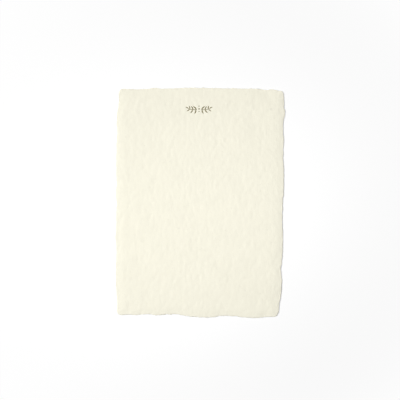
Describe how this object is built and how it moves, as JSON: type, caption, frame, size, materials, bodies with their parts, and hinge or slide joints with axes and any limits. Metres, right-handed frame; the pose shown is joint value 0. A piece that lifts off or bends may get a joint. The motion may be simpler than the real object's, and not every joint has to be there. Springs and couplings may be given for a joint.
{
  "type": "greeting card",
  "caption": "Flat greeting card of thick handmade paper, with soft deckled edges that thin to a lip all round and slightly rounded corners.",
  "frame": {"origin": "in the resting face, under the middle of the card's own box", "axes": "+X across the card to the right as it is read, +Y up the card as it is read, +Z out of the writing side"},
  "size_m": [0.122, 0.166, 0.0008],
  "materials": {
    "cotton_paper": "matte",
    "print_ink": "matte"
  },
  "bodies": {
    "root": {"card_sheet": "cotton_paper"}
  },
  "joints": []
}
